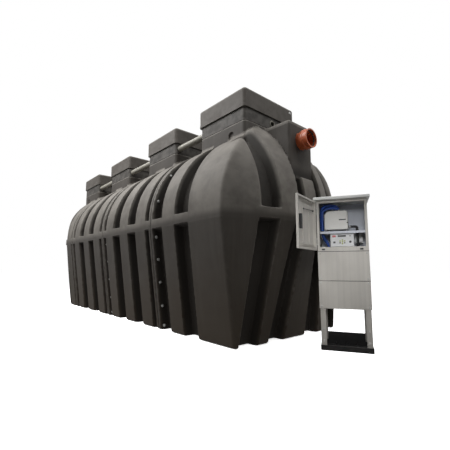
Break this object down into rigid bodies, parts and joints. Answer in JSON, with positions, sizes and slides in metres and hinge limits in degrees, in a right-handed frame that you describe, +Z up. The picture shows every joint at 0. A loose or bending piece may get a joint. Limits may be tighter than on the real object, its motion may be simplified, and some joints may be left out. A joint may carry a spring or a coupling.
{
  "type": "packaged sewage treatment plant",
  "caption": "Modular ribbed plastic sewage tank with lidded turrets, a pipe socket at each end and a separate equipment cabinet with a hinged door.",
  "frame": {"origin": "on the ground under the middle of the tank module next to the inlet end, on the tank's middle plane", "axes": "+X along the tank towards its inlet, +Y across the tank, +Z up"},
  "size_m": [6.0967, 1.78, 2.489],
  "materials": {
    "tank_shell": "dark warm grey moulded polyethylene",
    "gasket": "black rubber sheet",
    "grey_pipe": "grey plastic pipe",
    "orange_pipe": "orange-brown plastic sewer pipe",
    "black_frame": "black painted steel",
    "cabinet_shell": "light warm grey moulded panels",
    "cabinet_lining": "bluish grey inner sheet",
    "cabinet_roof": "near white roof cap",
    "blower_case": "light grey moulded case",
    "black_rubber": "black rubber",
    "blue_hose": "blue rubber hose",
    "controller_case": "light grey plastic",
    "hinge_steel": "zinc plated steel",
    "black_latch": "black plastic latch"
  },
  "bodies": {
    "plant": {"air_hose": "blue_hose", "base_frame": "black_frame", "blower_feet": "black_rubber", "blower_housing": "blower_case", "blower_outlet_hose": "black_rubber", "cabinet_roof": "cabinet_roof", "conduit_1": "grey_pipe", "conduit_2": "grey_pipe", "conduit_3": "grey_pipe", "controller_box": "controller_case", "door_frame": "cabinet_shell", "equipment_shelf": "cabinet_lining", "flange_gasket_1": "gasket", "flange_gasket_2": "gasket", "flange_gasket_3": "gasket", "hinge_pins": "hinge_steel", "housing_back_wall": "cabinet_lining", "housing_floor": "cabinet_shell", "housing_left_wall": "cabinet_shell", "housing_right_wall": "cabinet_shell", "inlet_box": "tank_shell", "inlet_end_module": "tank_shell", "inlet_socket": "orange_pipe", "junction_box": "controller_case", "lower_plinth": "cabinet_shell", "middle_module_1": "tank_shell", "middle_module_2": "tank_shell", "outlet_box": "tank_shell", "outlet_end_module": "tank_shell", "outlet_socket": "orange_pipe", "plinth_legs": "cabinet_shell", "riser_port": "tank_shell", "small_hose": "black_rubber", "turret_lid_1": "tank_shell", "turret_lid_2": "tank_shell", "turret_lid_3": "tank_shell", "turret_lid_4": "tank_shell", "turret_riser_1": "tank_shell", "turret_riser_2": "tank_shell", "turret_riser_3": "tank_shell", "turret_riser_4": "tank_shell", "upper_plinth": "cabinet_shell"},
    "door": {"cabinet_door": "cabinet_shell", "door_latch": "black_latch", "door_hinge_barrels": "hinge_steel"}
  },
  "joints": [
    {"name": "door_hinge", "type": "hinge", "parent": "plant", "child": "door", "pos_m": [2.34088, -0.23552, 0.999], "axis": [0, 0, -1], "range_deg": [-105, 0]}
  ]
}
